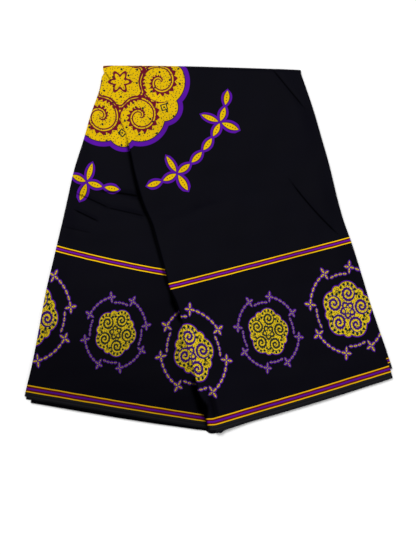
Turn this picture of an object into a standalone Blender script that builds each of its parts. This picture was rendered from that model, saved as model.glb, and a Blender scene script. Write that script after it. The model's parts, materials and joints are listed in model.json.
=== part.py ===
"""A cut length of wax print cotton, folded into panels and fanned out flat into two leaves.

The cloth is folded lengthwise into panels about 0.29 m wide, and then once across its width, so that
the middle of the cloth is the round fold at the top and both selvedges lie at the bottom. The panels
fan out below that fold: a right leaf lies over a left leaf, and the top layer makes a soft pleat
between them. Metres, +Z up. The origin is on the surface that the stack lies on, under the middle of
its outline, with the selvedges towards -Y.
"""

import math

import bmesh
import bpy
import numpy as np

MM = 0.001

# One layer of cloth, as a wall, the seam to the next piece, and the gap to the layer below.
WALL = 1.2 * MM
SEAM = 0.3 * MM
LAYER_GAP = 0.5 * MM

# Height of the stack's upper face above the surface, away from its edges.
HEIGHT_AT_TOP = 14.5 * MM
HEIGHT_AT_HEM = 11.0 * MM
EDGE_DROP = 2.5 * MM
SIDE_SLOPE_WIDTH = 30 * MM
HEM_SLOPE_WIDTH = 60 * MM

# The side edges of the leaves are folds: the wall turns under and ends in a lip.
SIDE_TURN_RADIUS = 1.0 * MM
SIDE_LIP = 4.0 * MM
SHOULDER_START = 6.8 * MM
SHOULDER_END = 9.5 * MM

# The pleat: how far the right leaf's rolled edge stands up, and how deep the cloth is tucked.
PLEAT_WIDTH = 80 * MM
PLEAT_FADE = 60 * MM
PLEAT_RISE = 10 * MM
TUCK_SPARE = 2.0 * MM

# The last fold, at the top, is half an ellipse from the front down to the back.
ROLL_DEPTH = 6.5 * MM
ROLL_BACK_REACH = 24 * MM

# The edges of the hidden layers show as rounded ribs, one for each bundle of layers.
RIB_COUNT = 5
RIB_DEPTH = 1.1 * MM
GROOVE_SHARE = 0.4
RIB_WANDER = 0.8 * MM
RIB_WAVES = (17, 5)  # radians a metre along the edge: the lowest rib's, and how many more each has
RIB_PHASE = 2.1
RIB_FADE = 60 * MM
HIDDEN_INSET = 2.6 * MM

# The next layer's strip, which shows beyond the front's selvedge and at the lower right corner.
STRIP_WIDTH = 26 * MM
STRIP_RAMP = 18 * MM
STEP_SPARE = 3 * MM
FRONT_HEM_INSET = 1.5 * MM
CORNER_REACH = 3.0 * MM

# The outline seen from above, in millimetres: one row for each section across the stack, from the
# top fold (-1) over the pleat's start (0) to the selvedges (1).
SECTIONS = (
    # section, left x, left y, pleat x, pleat y, right x, right y
    (-1.0, -163.0, 282.5, -151.0, 282.5, 138.5, 276.5),
    (-0.5, -170.0, 248.5, -145.0, 248.5, 150.5, 242.5),
    (0.0, -180.5, 212.0, -139.5, 212.0, 160.5, 212.0),
    (0.1, -195.0, 167.0, -124.0, 162.5, 173.0, 170.0),
    (0.2, -208.0, 124.0, -113.0, 113.0, 184.5, 130.0),
    (0.3, -219.5, 79.5, -98.0, 64.0, 194.0, 88.5),
    (0.4, -228.0, 36.0, -80.0, 14.5, 205.0, 48.5),
    (0.6, -248.0, -51.5, -54.5, -84.0, 232.0, -33.0),
    (0.8, -265.0, -139.5, -24.0, -182.5, 258.0, -114.5),
    (0.9, -273.5, -184.0, -14.0, -232.0, 270.5, -155.5),
    (1.0, -282.0, -230.0, 0.0, -282.5, 280.5, -198.5),
)

# The pleat in the same sections: how far its edge stands above the left leaf, and its tuck's depth.
PLEAT_SECTIONS = (
    # section, lift in millimetres, tuck in millimetres
    (-1.0, 0.0, 3.0),
    (0.0, 3.0, 3.0),
    (0.2, 4.6, 8.0),
    (0.4, 5.4, 12.0),
    (0.7, 5.2, 13.0),
    (1.0, 4.4, 13.0),
)

HEM_BOW = 2.0 * MM

# The top stretch's side edges curl down a little, as (inward, down) pairs from the outline.
SIDE_CURL = ((0.0, 1.8 * MM), (0.15 * MM, 0.9 * MM), (0.8 * MM, 0.25 * MM), (2.0 * MM, 0.0))

# How finely each piece is divided. Shares are of the way across a leaf, closer where it curves.
TURN_STEPS = 4
LEAF_ROWS = 26
LEFT_SHARES = (0.12, 0.25, 0.4, 0.55, 0.7, 0.85, 1.0)
RIGHT_SHARES = (0.03, 0.07, 0.12, 0.18, 0.25, 0.33, 0.45, 0.57, 0.69, 0.8, 0.9)
TOP_FRONT_ROWS = 6
TOP_ROLL_ROWS = 6
TOP_SHARES = (0.02, 0.045, 0.07, 0.1, 0.14, 0.18, 0.24, 0.32, 0.42, 0.53, 0.64, 0.75, 0.86, 0.95)
TOP_COLUMNS = 2 * len(SIDE_CURL) + len(TOP_SHARES) - 1
HIDDEN_LEFT_SHARES = (0.35, 0.6, 0.82)
HIDDEN_RIGHT_SHARES = (0.12, 0.2, 0.3, 0.42, 0.55, 0.68, 0.8, 0.9)
HIDDEN_ROWS = 26
HIDDEN_LEVELS = 2 * RIB_COUNT
BACK_ROWS = 14
BACK_COLUMNS = 8
STRIP_COLUMNS = 9
STRIP_ROWS = 2

COLOURS = {
    # part: red, green, blue, roughness
    "front": (0.012, 0.011, 0.015, 0.78),
    "hidden": (0.020, 0.019, 0.024, 0.85),
    "selvedge": (0.045, 0.044, 0.050, 0.85),
    "back": (0.016, 0.015, 0.019, 0.85),
}


def smooth(value):
    """Eases from 0 to 1 as value goes from 0 to 1, and stays there outside."""
    value = min(max(value, 0.0), 1.0)
    return value * value * (3 - 2 * value)


def ramp(value, start, end):
    """A straight ramp from 0 at start to 1 at end."""
    return min(max((value - start) / (end - start), 0.0), 1.0)


TABLE = np.array(SECTIONS)
STATIONS = TABLE[:, 0]
EDGES = {
    "left": TABLE[:, 1:3] * MM,
    "pleat": TABLE[:, 3:5] * MM,
    "right": TABLE[:, 5:7] * MM,
}
SLOPES = {name: np.gradient(points, STATIONS, axis=0) for name, points in EDGES.items()}
PLEAT_START = EDGES["pleat"][2]
LEAF_LENGTH = PLEAT_START[1] - EDGES["pleat"][-1][1]


def edge_point(name, section):
    """A point of an edge, on a smooth curve through the table's sections."""
    index = int(np.clip(np.searchsorted(STATIONS, section, side="right") - 1, 0, len(STATIONS) - 2))
    span = STATIONS[index + 1] - STATIONS[index]
    f = (section - STATIONS[index]) / span
    start, end = EDGES[name][index], EDGES[name][index + 1]
    start_slope, end_slope = SLOPES[name][index] * span, SLOPES[name][index + 1] * span
    return (
        start * (1 + 2 * f) * (1 - f) ** 2
        + start_slope * f * (1 - f) ** 2
        + end * f * f * (3 - 2 * f)
        + end_slope * f * f * (f - 1)
    )


FINE_SECTIONS = np.linspace(-1.0, 1.0, 161)
FINE_EDGES = {name: np.array([edge_point(name, s) for s in FINE_SECTIONS]) for name in EDGES}


def edge_x(name, y):
    """Where an edge passes at this y."""
    line = FINE_EDGES[name][::-1]
    return float(np.interp(y, line[:, 1], line[:, 0]))


def section_at(y):
    """The section whose pleat point lies at this y."""
    line = FINE_EDGES["pleat"][::-1]
    return float(np.interp(y, line[:, 1], FINE_SECTIONS[::-1]))


def section_below_top(distance):
    """The section this far below the top edge, where the rows run along that edge."""
    depths = FINE_EDGES["left"][0][1] - FINE_EDGES["left"][:, 1]
    return float(np.interp(distance, depths, FINE_SECTIONS))


def bow(x, section):
    """How far a row of either leaf sags below its straight line, most at the selvedge."""
    left, pleat, right = (edge_point(name, section)[0] for name in ("left", "pleat", "right"))
    share = (x - left) / (pleat - left) if x < pleat else (x - pleat) / (right - pleat)
    return HEM_BOW * max(4 * share * (1 - share), 0) * max(section, 0) ** 2


def bowed(points, section):
    return [np.array((x, y - bow(x, section))) for x, y in points]


def hem_y(x):
    """The selvedge line at this x."""
    corners = [EDGES[name][-1] for name in ("left", "pleat", "right")]
    line_y = np.interp(x, [corner[0] for corner in corners], [corner[1] for corner in corners])
    return float(line_y) - bow(x, 1.0)


def pleat_value(section, column):
    table = np.array(PLEAT_SECTIONS)
    return float(np.interp(section, table[:, 0], table[:, column])) * MM


def lift_at(section):
    return pleat_value(section, 1)


def tuck_at(section):
    return pleat_value(section, 2)


def side_distance(x, y):
    """How far inside the nearer side edge a point lies."""
    return min(x - edge_x("left", y), edge_x("right", y) - x)


def base_height(x, y):
    """The upper face of the left leaf, or of the right one without its pleat."""
    top_y = EDGES["left"][0][1]
    bottom_y = EDGES["pleat"][-1][1]
    body = HEIGHT_AT_HEM + (HEIGHT_AT_TOP - HEIGHT_AT_HEM) * (y - bottom_y) / (top_y - bottom_y)
    nearness = min(side_distance(x, y) / SIDE_SLOPE_WIDTH, (y - hem_y(x)) / HEM_SLOPE_WIDTH)
    return body - EDGE_DROP * (1 - smooth(nearness))


def pleat_swell(x, y):
    """How far the right leaf is lifted where it lies over the tuck. It dies out to the right and up."""
    across = x - edge_x("pleat", y)
    fade_up = 1 - smooth((y - PLEAT_START[1]) / PLEAT_FADE)
    return lift_at(section_at(y)) * (1 - smooth(across / PLEAT_WIDTH)) * fade_up


def top_face(x, y):
    """The upper face of the stretch above the pleat's start, where the lift rises from nothing."""
    rise = smooth((x - edge_x("pleat", y)) / PLEAT_RISE + 1)
    return base_height(x, y) + pleat_swell(x, y) * rise


def support_height(x, y):
    """The upper face of what lies just below the front, lower under the side turns' lips."""
    section = section_at(y)
    step_start = edge_x("pleat", y) + tuck_at(section) + 2 * TUCK_SPARE
    swell = pleat_swell(x, y) * ramp(x, step_start, step_start + TUCK_SPARE)
    shoulder = 1 - ramp(side_distance(x, y), SHOULDER_START, SHOULDER_END)
    return base_height(x, y) + swell - WALL - LAYER_GAP - 2 * SIDE_TURN_RADIUS * shoulder


def leaf_point(start, end, share, section):
    """A point in plan, a share of the way from one edge to another."""
    point = edge_point(start, section) * (1 - share) + edge_point(end, section) * share
    return bowed([point], section)[0]


def new_material(name, part):
    red, green, blue, roughness = COLOURS[part]
    material = bpy.data.materials.new(name)
    material.use_nodes = True
    shader = material.node_tree.nodes["Principled BSDF"]
    shader.inputs["Base Color"].default_value = (red, green, blue, 1)
    shader.inputs["Roughness"].default_value = roughness
    return material


def new_object(name, mesh_data, collection, part):
    mesh = bpy.data.meshes.new(name)
    mesh_data.to_mesh(mesh)
    mesh_data.free()
    mesh.shade_smooth()
    mesh.set_sharp_from_angle(angle=math.radians(40))
    mesh.materials.append(new_material(name, part))
    piece = bpy.data.objects.new(name, mesh)
    collection.objects.link(piece)
    return piece


def wall_piece(name, columns, rows, place, collection, part):
    """A wall of cloth: an open grid laid along its middle surface, with Solidify."""
    data = bmesh.new()
    bmesh.ops.create_grid(data, x_segments=columns, y_segments=rows, size=0.5)
    for vertex in data.verts:
        column = round((vertex.co.x + 0.5) * columns)
        row = round((0.5 - vertex.co.y) * rows)
        vertex.co = place(column, row)
    piece = new_object(name, data, collection, part)
    shell = piece.modifiers.new("Cloth", "SOLIDIFY")
    shell.thickness = WALL
    shell.offset = 0
    shell.use_even_offset = True
    return piece


def block_piece(name, cuts, place, collection, part):
    """A closed solid: a cube cut into columns, rows and levels, whose points are then placed."""
    data = bmesh.new()
    bmesh.ops.create_cube(data, size=1.0)
    for axis, count in enumerate(cuts):
        lines = [e for e in data.edges if abs((e.verts[0].co - e.verts[1].co)[axis]) > 0.5]
        if count > 1:
            bmesh.ops.subdivide_edges(data, edges=lines, cuts=count - 1, use_grid_fill=True)
    for vertex in data.verts:
        column = round((vertex.co.x + 0.5) * cuts[0])
        row = round((0.5 - vertex.co.y) * cuts[1])
        level = round((vertex.co.z + 0.5) * cuts[2])
        vertex.co = place(column, row, level)
    return new_object(name, data, collection, part)


def turn_profile(radius, lip, steps):
    """A fold's profile from its lip's end round to the upper face, as (inward, down) pairs."""
    points = [(radius + lip, 2 * radius)]
    for step in range(steps + 1):
        angle = math.pi * step / steps
        points.append((radius - radius * math.sin(angle), radius + radius * math.cos(angle)))
    return points


SIDE_PROFILE = turn_profile(SIDE_TURN_RADIUS, SIDE_LIP, TURN_STEPS)


def leaf_section(row):
    """The section of a leaf's row, from just under the top stretch's seam to the front's selvedge."""
    first = SEAM / LEAF_LENGTH
    last = 1 - FRONT_HEM_INSET / LEAF_LENGTH
    return first + (last - first) * row / LEAF_ROWS


def middle(x, y, height):
    """A point of a wall's middle surface whose upper face is at this height."""
    return (x, y, height - WALL / 2)


def side_turn_point(plan, inward_sign, inward, down):
    """A point of a side fold, measured from the outline: inward in plan and down from the face."""
    x = plan[0] + inward_sign * (inward + WALL / 2)
    return middle(x, plan[1], base_height(x, plan[1]) - down)


def place_left(column, row):
    section = leaf_section(row)
    if column < len(SIDE_PROFILE):
        inward, down = SIDE_PROFILE[column]
        return side_turn_point(edge_point("left", section), 1, inward, down)
    index = column - len(SIDE_PROFILE)
    if index < len(LEFT_SHARES):
        x, y = leaf_point("left", "pleat", LEFT_SHARES[index], section)
    else:
        x, y = leaf_point("left", "pleat", 1.0, section)
        x += tuck_at(section) + TUCK_SPARE
    return middle(x, y, base_height(x, y))


def pleat_profile(section):
    """The right leaf's rolled left edge, from the tuck's end round to its upper face."""
    radius = (lift_at(section) - SEAM - WALL) / 2
    return radius, turn_profile(radius, tuck_at(section) - radius, TURN_STEPS + 1)


def place_right(column, row):
    section = leaf_section(row)
    radius, profile = pleat_profile(section)
    if column < len(profile):
        inward, down = profile[column]
        plan = edge_point("pleat", section)
        x = plan[0] + WALL / 2 + inward
        rest = base_height(x, plan[1]) + SEAM + WALL
        return middle(x, plan[1], rest + 2 * radius - down)
    index = column - len(profile)
    if index < len(RIGHT_SHARES):
        x, y = leaf_point("pleat", "right", RIGHT_SHARES[index], section)
        return middle(x, y, base_height(x, y) + pleat_swell(x, y))
    inward, down = SIDE_PROFILE[::-1][index - len(RIGHT_SHARES)]
    return side_turn_point(edge_point("right", section), -1, inward, down)


def top_line_y(x):
    """The top edge of the outline at this x."""
    left, right = EDGES["left"][0], EDGES["right"][0]
    return float(np.interp(x, (left[0], right[0]), (left[1], right[1])))


def roll_start_y(x):
    """Where the front ends and the roll over the top begins, at this x."""
    return top_line_y(x) - WALL / 2 - ROLL_DEPTH


def roll_angle(row):
    """How far round the roll a row of the top stretch lies: 0 on the front, pi on the back."""
    share = (row - TOP_FRONT_ROWS) / TOP_ROLL_ROWS
    return math.pi * min(max(share, 0), 1)


def top_row_y(x, row):
    """The y of a row of the top stretch: up the front, over the roll, and down the back."""
    start_y = roll_start_y(x)
    seam_y = PLEAT_START[1] + SEAM
    if row <= TOP_FRONT_ROWS:
        return seam_y + (start_y - seam_y) * row / TOP_FRONT_ROWS
    if row <= TOP_FRONT_ROWS + TOP_ROLL_ROWS:
        return start_y + ROLL_DEPTH * math.sin(roll_angle(row))
    return start_y - ROLL_BACK_REACH


def top_row_height(x, row):
    """The height of the top stretch's middle surface at this x."""
    if row <= TOP_FRONT_ROWS:
        return top_face(x, top_row_y(x, row)) - WALL / 2
    half = (top_face(x, roll_start_y(x)) - WALL) / 2
    return WALL / 2 + half + half * math.cos(roll_angle(row))


def place_top(column, row):
    """A point of the top stretch, whose side edges curl towards the layers inside."""
    left = edge_x("left", top_row_y(EDGES["left"][0][0], row)) + WALL / 2
    right = edge_x("right", top_row_y(EDGES["right"][0][0], row)) - WALL / 2
    down = 0.0
    if column < len(SIDE_CURL):
        inward, down = SIDE_CURL[column]
        x = left + inward
    elif TOP_COLUMNS - column < len(SIDE_CURL):
        inward, down = SIDE_CURL[TOP_COLUMNS - column]
        x = right - inward
    else:
        x = left + (right - left) * TOP_SHARES[column - len(SIDE_CURL)]
    angle = roll_angle(row)
    down *= 1 - smooth(angle / math.pi)
    y = top_row_y(x, row) - down * math.sin(angle)
    return (x, y, top_row_height(x, row) - down * math.cos(angle))


def hidden_line(section):
    """The x and y of a row of points across the hidden layers, from left to right."""
    left, pleat, right = (edge_point(name, section) for name in ("left", "pleat", "right"))
    step = tuck_at(section) + 2 * TUCK_SPARE
    points = [left + (inset, 0) for inset in (HIDDEN_INSET, SHOULDER_START, SHOULDER_END)]
    start = left + (SHOULDER_END, 0)
    end = pleat + (step, 0)
    points += [start + (end - start) * share for share in HIDDEN_LEFT_SHARES]
    points += [end, pleat + (step + TUCK_SPARE, 0)]
    start = pleat + (step + TUCK_SPARE, 0)
    end = right - (SHOULDER_END, 0)
    points += [start + (end - start) * share for share in HIDDEN_RIGHT_SHARES]
    points += [right - (inset, 0) for inset in (SHOULDER_END, SHOULDER_START, HIDDEN_INSET)]
    return bowed(points, section)


HIDDEN_COLUMNS = len(hidden_line(0.0)) - 1


def hidden_section(row):
    """Rows of the hidden layers, from inside the top fold's roll to just inside the selvedges."""
    from_hem = (STRIP_WIDTH + STRIP_RAMP, STRIP_WIDTH + STEP_SPARE, STRIP_WIDTH / 2, HIDDEN_INSET)
    plain_rows = HIDDEN_ROWS + 1 - len(from_hem)
    if row >= plain_rows:
        return 1 - (FRONT_HEM_INSET + from_hem[row - plain_rows]) / LEAF_LENGTH
    first = section_below_top(WALL / 2 + ROLL_DEPTH + LAYER_GAP)
    last = 1 - (FRONT_HEM_INSET + from_hem[0]) / LEAF_LENGTH
    return first + (last - first) * row / plain_rows


def hidden_top(x, y):
    """The hidden layers' upper face, which leaves room for the next layer's strip at the selvedge."""
    strip = 1 - ramp(y - hem_y(x), STRIP_WIDTH + STEP_SPARE, STRIP_WIDTH + STRIP_RAMP)
    return support_height(x, y) - (WALL + LAYER_GAP) * strip


def rib_reach(level, along):
    """How far a layer's edge stands out at a level: ribs with grooves between, each wandering."""
    rib = level // 2
    rounded = RIB_DEPTH * (1 if level % 2 else -GROOVE_SHARE)
    wave = RIB_WAVES[0] + RIB_WAVES[1] * rib
    return rounded + RIB_WANDER * math.sin(along * wave + RIB_PHASE * rib)


def place_hidden(column, row, level):
    section = hidden_section(row)
    x, y = hidden_line(section)[column]
    bottom = WALL + SEAM
    share = level / HIDDEN_LEVELS
    z = bottom + (hidden_top(x, y) - bottom) * share
    side = (column == HIDDEN_COLUMNS) - (column == 0)
    if side:
        x += side * rib_reach(level, y) * smooth((top_line_y(x) - y - ROLL_DEPTH) / RIB_FADE)
    if row == HIDDEN_ROWS:
        y -= rib_reach(level, x)
    if row == 0:
        shoulder = 1 - ramp(side_distance(x, y), SHOULDER_START, SHOULDER_END)
        depth = ROLL_DEPTH - WALL / 2 - LAYER_GAP - 2 * SIDE_TURN_RADIUS * shoulder
        y += depth * math.sqrt(max(1 - (2 * share - 1) ** 2, 0))
    return (x, y, z)


def place_back(column, row, level):
    """The back panel: flat, from the seam behind the top fold to the selvedges."""
    first = section_below_top(WALL / 2 + ROLL_DEPTH + ROLL_BACK_REACH + 2 * SEAM)
    last = 1 - FRONT_HEM_INSET / LEAF_LENGTH
    section = first + (last - first) * row / BACK_ROWS
    inset = HIDDEN_INSET / 2
    pleat = edge_point("pleat", section)
    share = 2 * column / BACK_COLUMNS
    if share <= 1:
        point = (edge_point("left", section) + (inset, 0)) * (1 - share) + pleat * share
    else:
        point = pleat * (2 - share) + (edge_point("right", section) - (inset, 0)) * (share - 1)
    return (*bowed([point], section)[0], WALL * level)


def strip_section(row):
    return 1 - (STRIP_WIDTH / LEAF_LENGTH) * (1 - row / STRIP_ROWS)


def strip_line(name, section):
    """A row of points across one leaf's strip of the next layer."""
    if name == "left":
        outer = edge_point("left", section)
        inner = edge_point("pleat", section) - (3 * TUCK_SPARE, 0)
        sign = 1
    else:
        outer = edge_point("right", section)
        inner = edge_point("pleat", section) + (tuck_at(section) + 4 * TUCK_SPARE, 0)
        sign = -1
    points = [outer + (sign * inset, 0) for inset in (0, SHOULDER_START, SHOULDER_END)]
    start = points[-1]
    count = STRIP_COLUMNS - 2
    points += [start + (inner - start) * (step / count) for step in range(1, count + 1)]
    return bowed(points if sign > 0 else points[::-1], section)


def place_strip(name):
    def place(column, row, level):
        section = strip_section(row)
        x, y = strip_line(name, section)[column]
        z = support_height(x, y) - WALL * (1 - level)
        if name == "right" and column == STRIP_COLUMNS:
            x += CORNER_REACH
        return (x, y, z)

    return place


def build():
    for old in list(bpy.data.objects):
        bpy.data.objects.remove(old, do_unlink=True)
    cloth = bpy.data.collections.new("wax_print_cloth")
    bpy.context.scene.collection.children.link(cloth)

    left_columns = len(SIDE_PROFILE) + len(LEFT_SHARES)
    wall_piece("front_left_leaf", left_columns, LEAF_ROWS, place_left, cloth, "front")
    right_columns = 2 * len(SIDE_PROFILE) + 1 + len(RIGHT_SHARES) - 1
    wall_piece("front_right_leaf", right_columns, LEAF_ROWS, place_right, cloth, "front")
    top_rows = TOP_FRONT_ROWS + TOP_ROLL_ROWS + 1
    wall_piece("top_fold", TOP_COLUMNS, top_rows, place_top, cloth, "front")
    hidden_cuts = (HIDDEN_COLUMNS, HIDDEN_ROWS, HIDDEN_LEVELS)
    block_piece("hidden_layers", hidden_cuts, place_hidden, cloth, "hidden")
    block_piece("back_panel", (BACK_COLUMNS, BACK_ROWS, 1), place_back, cloth, "back")
    for name in ("left", "right"):
        cuts = (STRIP_COLUMNS, STRIP_ROWS, 1)
        block_piece(f"next_layer_{name}", cuts, place_strip(name), cloth, "selvedge")


build()
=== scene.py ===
"""Looks for the folded wax print fabric: the printed cloth, the folded layers under it and the light.

The cloth is one long sheet, folded into panels and then once over at the top. front_cloth is the
outermost layer: both leaves, the pleat between them, the round fold at the top and the flat back. The
inner layers are nested inside it, each running from the selvedge up the front, over the top fold and
down the back. All places are in metres in the frame's own axes, with the selvedges towards -Y.
"""

import json
import math
from functools import reduce
from types import SimpleNamespace

import bpy
import numpy as np
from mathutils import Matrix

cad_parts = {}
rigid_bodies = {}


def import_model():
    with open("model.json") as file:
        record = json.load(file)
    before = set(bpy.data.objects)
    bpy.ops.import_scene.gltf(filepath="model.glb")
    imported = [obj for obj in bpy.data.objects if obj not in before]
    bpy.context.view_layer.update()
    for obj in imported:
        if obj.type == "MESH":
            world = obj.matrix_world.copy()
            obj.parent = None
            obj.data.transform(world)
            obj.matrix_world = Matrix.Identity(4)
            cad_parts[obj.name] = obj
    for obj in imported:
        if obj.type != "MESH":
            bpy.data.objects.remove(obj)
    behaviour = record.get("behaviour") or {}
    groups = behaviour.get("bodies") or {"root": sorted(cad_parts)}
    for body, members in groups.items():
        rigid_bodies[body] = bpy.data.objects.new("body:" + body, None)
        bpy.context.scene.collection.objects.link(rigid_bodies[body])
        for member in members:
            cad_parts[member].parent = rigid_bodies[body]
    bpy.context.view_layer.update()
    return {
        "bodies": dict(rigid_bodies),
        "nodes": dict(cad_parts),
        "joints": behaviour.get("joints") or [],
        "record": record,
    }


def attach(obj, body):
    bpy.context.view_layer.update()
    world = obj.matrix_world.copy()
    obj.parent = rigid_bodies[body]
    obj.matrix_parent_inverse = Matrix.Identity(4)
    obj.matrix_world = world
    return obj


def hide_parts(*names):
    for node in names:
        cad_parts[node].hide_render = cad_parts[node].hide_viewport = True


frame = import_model()

MM = 0.001

# One layer of the cotton, and how far the sheet stays off the floor.
CLOTH = 0.4 * MM
FLOOR_GAP = 0.1 * MM

# Height of the stack's upper face above the floor, away from its edges.
HEIGHT_AT_TOP = 14.5 * MM
HEIGHT_AT_HEM = 11.0 * MM
EDGE_DROP = 2.5 * MM
SIDE_SLOPE_WIDTH = 30 * MM
HEM_SLOPE_WIDTH = 60 * MM

# The front's side edges are folds: the cloth turns under and ends in a lip.
TURN_RADIUS = 0.8 * MM
TURN_LIP = 5.0 * MM
TURN_STEPS = 6
LIP_STEPS = 2

# The pleat, whose rolled edge stands up and dies out to the right and above its start.
PLEAT_START_Y = 212 * MM
PLEAT_WIDTH = 80 * MM
PLEAT_FADE = 60 * MM
PLEAT_SIDE = 4.0 * MM
PLEAT_OPENS = 0.13
NOSE_DEPTH = 2.4 * MM
INNER_FOLD, FOLD_STEPS, NOSE_STEPS = 0.7 * MM, 6, 8
DIP_WIDTH = 20 * MM
TUCK_HIDES, TUCK_SHOWS = 3, 17  # the points of its cross-section between which the print is hidden

# The last fold, at the top, is half an ellipse from the front down to the back.
ROLL_DEPTH = 6.5 * MM
ROLL_STEPS = 14

# How far the rows sag between their corners at the selvedge, how much the left leaf's end is raised there
# beside the pleat, and how far the top fold bulges between its corners.
HEM_BOW = {"left": 1.7 * MM, "right": 2.7 * MM}
LEFT_RISE = 3.0 * MM
TOP_BOW = 1.4 * MM

# The front's own edge at the selvedge lies this far above the outline, so that the layers under it show.
FRONT_HEM = np.array([
    # x, inset, in millimetres
    (-284, 8.2), (-278.7, 6.9), (-275.7, 5.6), (-272, 3.6), (-250, 2),
    (-183, 2.4), (-60, 2.2), (-1, 1.8), (0.5, 4.6), (4.6, 3.8),
    (10.8, 2.1), (16.9, 0.4), (24, -1.3), (27, -1.5), (33, -0.8),
    (60, 0.2), (283, 0.4),
])
HEM_SHIFT_START = 0.8  # the section from which the rows move up to that edge

# Towards its lower right corner the front is drawn in, which uncovers the layer under it.
RIGHT_DRAWN_IN = np.array([
    # section, inset in millimetres
    (0.905, 0), (0.925, 4.3), (0.955, 4.3), (0.967, 3.8), (0.98, 4.4), (1, 4.6),
])
BACK_HEM_INSET = 3.0 * MM
BACK_SIDE_INSET = 0.8 * MM
BACK_INSET_OVER = 0.28  # in sections from the roll

# The left edge is dented in just below the top.
NOTCH_Y, NOTCH_WIDTH, NOTCH_DEPTH = 272.5 * MM, 4.5 * MM, 3.6 * MM

# How finely the front cloth is divided.
FRONT_ROWS = 196
BACK_ROWS = 24
NEAR_NOTCH = (0.004, 0.009, 0.014, 0.024)  # more rows of the back, by section from the roll
LEFT_COLUMNS = 76
RIGHT_COLUMNS = 92
FINER_AT_PLEAT = 1.05

# The outline seen from above, in millimetres: one row for each section across the stack, from the
# top fold over the pleat's start (0) to the selvedges (1).
SECTIONS = np.array([
    # section, left x, left y, pleat x, pleat y, right x, right y
    (-0.14, -163.9, 283.6, -151, 283.8, 139.4, 276.9),
    (-0.07, -168.2, 248.5, -145, 248.5, 151.7, 242.5),
    (0, -180.8, 212, -139.5, 212, 161.8, 212),
    (0.1, -193.9, 167, -124, 162.5, 174, 170),
    (0.2, -207.5, 124, -113, 113, 185.4, 130),
    (0.3, -217.7, 79.5, -98, 64, 195.4, 88.5),
    (0.35, -222.6, 57.7, -87, 39.3, 200.5, 68.4),
    (0.4, -227.6, 36, -80, 14.5, 206.2, 48.5),
    (0.5, -238, -7.7, -66.7, -34.8, 220.6, 7.9),
    (0.54, -242.1, -25.2, -62.1, -54.5, 225.9, -8.5),
    (0.6, -248.6, -51.5, -49, -84, 233.5, -33),
    (0.64, -252.4, -69, -43.4, -103.7, 238.5, -49.3),
    (0.7, -257.3, -95.4, -38.2, -133.2, 245.7, -73.7),
    (0.8, -265.5, -139.5, -24, -182.5, 259.2, -114.5),
    (0.9, -274, -184, -14, -232, 273.6, -155.5),
    (1, -284.5, -234.2, 0, -282.8, 288, -196.6),
])

# The pleat by section: how far its edge stands above the left leaf, how deep its tuck is, and how far
# the left leaf dips beside it.
PLEAT_SECTIONS = np.array([
    # section, lift, tuck and dip in millimetres
    (-0.14, 0, 1, 0), (0, 1.6, 1, 0), (0.15, 3.6, 5.5, 1.2),
    (0.25, 4.2, 8, 1.3), (0.4, 4.4, 9, 1.1), (0.5, 5, 9, 1.2),
    (0.6, 6, 9, 1.4), (0.68, 3.8, 9, 0.8), (0.8, 3.4, 9, 0.6),
    (0.88, 6.5, 8.5, 2), (0.94, 8.4, 8.5, 3), (1, 8.4, 8, 3),
])

# The deep shade in the pleat: how far it reaches to the left and to the right of the pleat's edge.
FOLD_SHADE = np.array([
    # y, left, right, in millimetres
    (176, -2.5, 0), (160, 4, 0.4), (76, 7, 0.4), (38, 6, 0.4),
    (15, 6, 0.4), (-25, 5.5, 0.5), (-62, 5, 0.5), (-74, 8.5, 0.5),
    (-83, 11.5, 0.5), (-94, 9.5, 0.5), (-104, 8, 0.5), (-110, 6, 0.5),
    (-117, -2.5, 0), (-194, -2.5, 0), (-203, 8, 0.3), (-212, 11, 0.5),
    (-221, 11, 0.8), (-230, 9.4, 4.5), (-239, 9, 9.4), (-246, 9.5, 8.5),
    (-254, 6, 6), (-260, 3.5, 2.5), (-283, 3, 1),
])
SHADE_SOFT_LEFT, SHADE_SOFT_RIGHT = 5.0 * MM, 3.0 * MM

# The left leaf's end, and the layers that show under it, are shaded too.
HEM_SHADE, HEM_SHADE_REACH, HEM_SHADE_SOFT = 0.75, 3.4 * MM, 1.6 * MM

# Painted shade darkens the left leaf towards its lower end, its ground and print alike, and dulls its sheen.
LEFT_SHADE_FROM, LEFT_SHADE_OVER, LEFT_SHADE_BY = -20 * MM, 170 * MM, 0.36

# Creases in the front, each a shallow arc from one place to another that bulges to the left of its way,
# or to the right where that is negative. A sharp one also has a fine dark line along it: painted shade in
# the crease, and a groove in the bump.
CREASES = (
    # leaf, start x, start y, end x, end y, bulge, depth at its start and end, half width, line's
    # strength and half width
    ("right", 93, 283, 150, 214, 0, 0.8, 0.8, 3, 0.9, 1.9),
    ("right", 121, 112, 206, 17, -3.9, 0.9, 1.1, 3, 1, 1.9),
    ("right", -78, 36, 38, 77, 0, 1.4, 0.8, 9, 0, 0),
    ("right", -28, 58, 15, 70, 0, 0.8, 0.6, 7, 0, 0),
    ("right", 1, -216, 12, -262, 0, 3.8, 3.8, 4.8, 0.55, 5.5),
    ("right", -160, 273, -149, 257, 0, 0.8, 0.6, 2.5, 0.7, 1.9),
    ("left", -172, 90, -94, 79.5, 1.2, 0.6, 3.6, 4.6, 1, 2.9),
    ("left", -211, 89, -149, 61, 1, 1.6, 1.2, 3.4, 0.9, 1.9),
    ("left", -164, 66, -92, 50, 0, 0.8, 2.2, 4, 0.8, 1.9),
    ("left", -210, 62.5, -168, 42, 0, 1.2, 1.5, 3.4, 1, 1.9),
    ("left", -229, 36, -180, 25, 0, 0.8, 0.4, 4, 0.4, 1.9),
)
CREASE_ENDS = 0.35
LINE_DEPTH, LINE_SHADE, LINE_FADE = 7.0, 0.95, 2.5

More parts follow.
